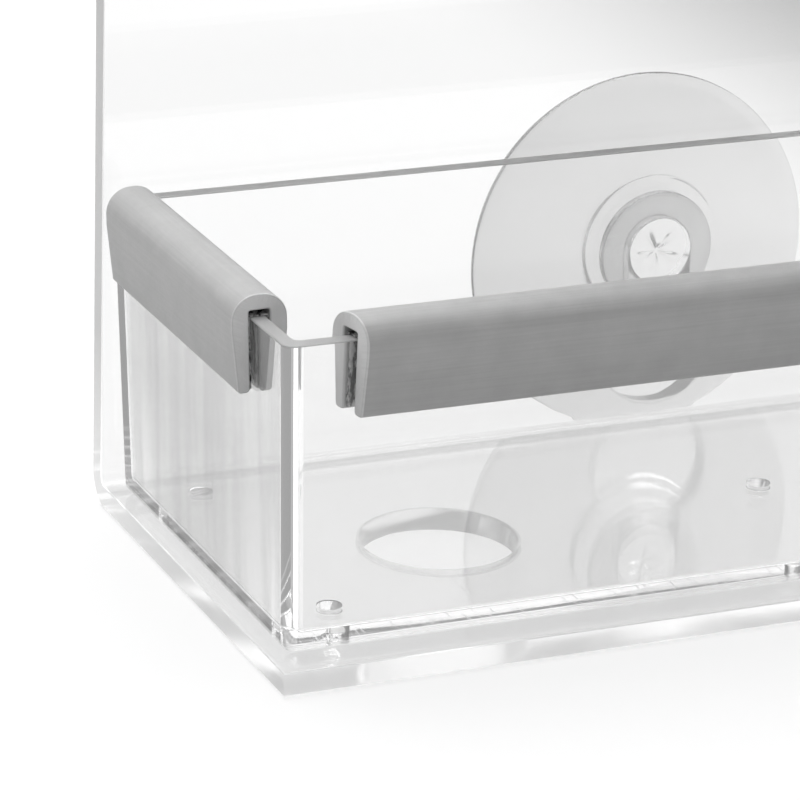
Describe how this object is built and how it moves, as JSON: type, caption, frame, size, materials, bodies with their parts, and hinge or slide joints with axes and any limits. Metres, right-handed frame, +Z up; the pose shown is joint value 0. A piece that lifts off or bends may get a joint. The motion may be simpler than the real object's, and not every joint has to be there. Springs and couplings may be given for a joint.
{
  "type": "window bird feeder",
  "caption": "Clear bent-sheet window bird feeder with a sliding seed tray, rubber-edged perches and suction cups in keyhole slots.",
  "frame": {"origin": "underside of the floor, at the middle of the sheet's width and of the housing's depth", "axes": "+X to the right seen from the front, +Y towards the window, +Z up"},
  "size_m": [0.1642, 0.0803, 0.149],
  "materials": {
    "clear_sheet": "clear polished acrylic sheet with sawn edges",
    "clear_tray": "clear moulded plastic, fine scratches",
    "grey_rubber": "satin extruded rubber with fine lines along it",
    "clear_adhesive": "wrinkled clear adhesive",
    "clear_soft_vinyl": "clear soft vinyl, glossy"
  },
  "bodies": {
    "housing": {"housing": "clear_sheet"},
    "tray": {"seed_tray": "clear_tray", "perch_trim_left": "grey_rubber", "perch_trim_right": "grey_rubber", "perch_trim_front": "grey_rubber", "trim_adhesive_left": "clear_adhesive", "trim_adhesive_right": "clear_adhesive", "trim_adhesive_front": "clear_adhesive"},
    "cup_upper_left": {"suction_cup_upper_left": "clear_soft_vinyl"},
    "cup_upper_right": {"suction_cup_upper_right": "clear_soft_vinyl"},
    "cup_lower": {"suction_cup_lower": "clear_soft_vinyl"}
  },
  "joints": [
    {"name": "tray_slide", "type": "slide", "parent": "housing", "child": "tray", "axis": [0, -1, 0], "range_m": [0, 0.065]},
    {"name": "cup_upper_left_slide", "type": "slide", "parent": "housing", "child": "cup_upper_left", "axis": [0, 0, -1], "range_m": [0, 0.0134]},
    {"name": "cup_upper_right_slide", "type": "slide", "parent": "housing", "child": "cup_upper_right", "axis": [0, 0, -1], "range_m": [0, 0.0134]},
    {"name": "cup_lower_slide", "type": "slide", "parent": "housing", "child": "cup_lower", "axis": [0, 0, -1], "range_m": [0, 0.0134]}
  ]
}
